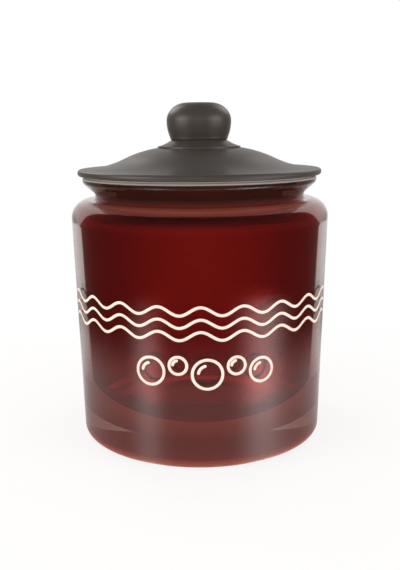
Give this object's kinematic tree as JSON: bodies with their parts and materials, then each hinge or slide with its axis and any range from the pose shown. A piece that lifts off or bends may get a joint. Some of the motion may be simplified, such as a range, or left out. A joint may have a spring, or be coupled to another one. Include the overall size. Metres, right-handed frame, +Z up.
{
  "type": "glass detergent jar",
  "caption": "Round pressed-glass detergent jar with a slanted wall, short neck and flared lip, closed by a domed metal lid with a knob and a ribbed seal.",
  "frame": {"origin": "centre of the jar's foot, on the surface it stands on", "axes": "+Z up along the jar's axis; +X to the right and +Y away from the viewer as in the picture"},
  "size_m": [0.16, 0.16, 0.2068],
  "materials": {
    "jar_glass": "thick clear pressed glass, coated translucent deep red on the inside, polished",
    "lid_coat": "fine matte powder coat, charcoal bronze",
    "carrier_plastic": "moulded, dark grey",
    "seal_silicone": "soft silicone, smoke grey, moulded matte",
    "screw_steel": "plain zinc-plated steel"
  },
  "bodies": {
    "jar": {"jar_body": "jar_glass"},
    "lid": {"lid_shell": "lid_coat", "lid_knob": "lid_coat", "seal_carrier": "carrier_plastic", "seal_ring": "seal_silicone", "knob_screw": "screw_steel", "screw_washer": "screw_steel"}
  },
  "joints": [
    {"name": "lid_lift", "type": "slide", "parent": "jar", "child": "lid", "axis": [0, 0, 1], "range_m": [0, 0.12]}
  ]
}
